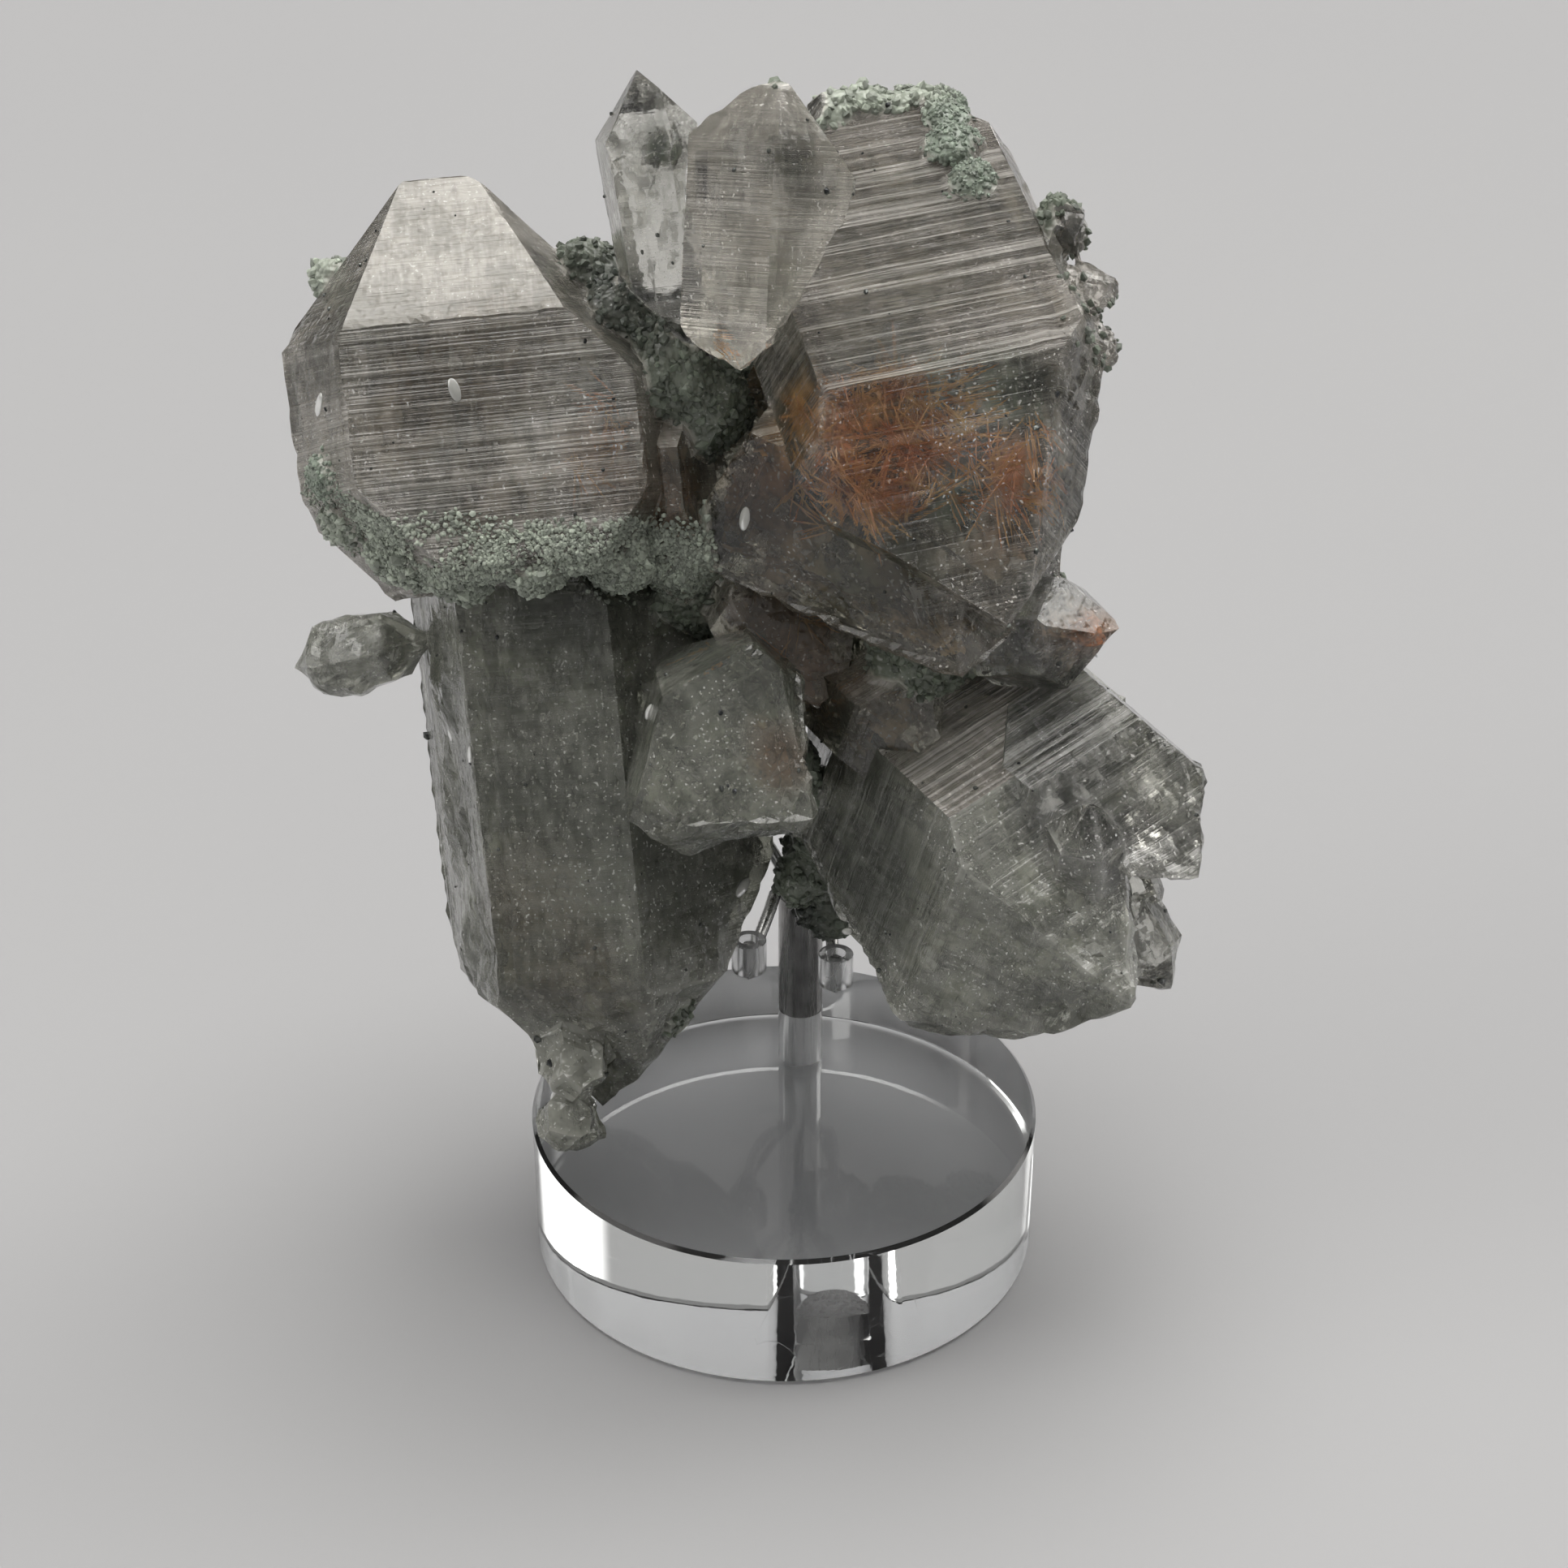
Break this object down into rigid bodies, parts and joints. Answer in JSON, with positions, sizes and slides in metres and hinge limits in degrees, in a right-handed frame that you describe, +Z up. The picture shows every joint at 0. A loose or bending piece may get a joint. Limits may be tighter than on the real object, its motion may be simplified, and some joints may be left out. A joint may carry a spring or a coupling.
{
  "type": "rutilated quartz specimen",
  "caption": "Intergrown clear and smoky quartz crystals with rusty needle inclusions, held by bent wires on a post over a clear disc base.",
  "frame": {"origin": "centre of the underside of the disc base", "axes": "+Z up, -Y towards the front that the picture shows, +X to the viewer's right"},
  "size_m": [0.1203, 0.0951, 0.1631],
  "materials": {
    "quartz": "translucent grey-green crystal with brown clouds, striated faces and a dusting of grains",
    "clear_acrylic": "clear polished acrylic",
    "steel": "turned stainless steel",
    "steel_wire": "drawn stainless steel wire",
    "clear_sleeve": "milky clear plastic tube"
  },
  "bodies": {
    "root": {"quartz_cluster": "quartz", "acrylic_base": "clear_acrylic", "steel_post": "steel", "wire_front_left": "steel_wire", "wire_front_right": "steel_wire", "wire_back_left": "steel_wire", "wire_back_middle": "steel_wire", "wire_back_right": "steel_wire", "sleeve_left": "clear_sleeve", "sleeve_right": "clear_sleeve"}
  },
  "joints": []
}
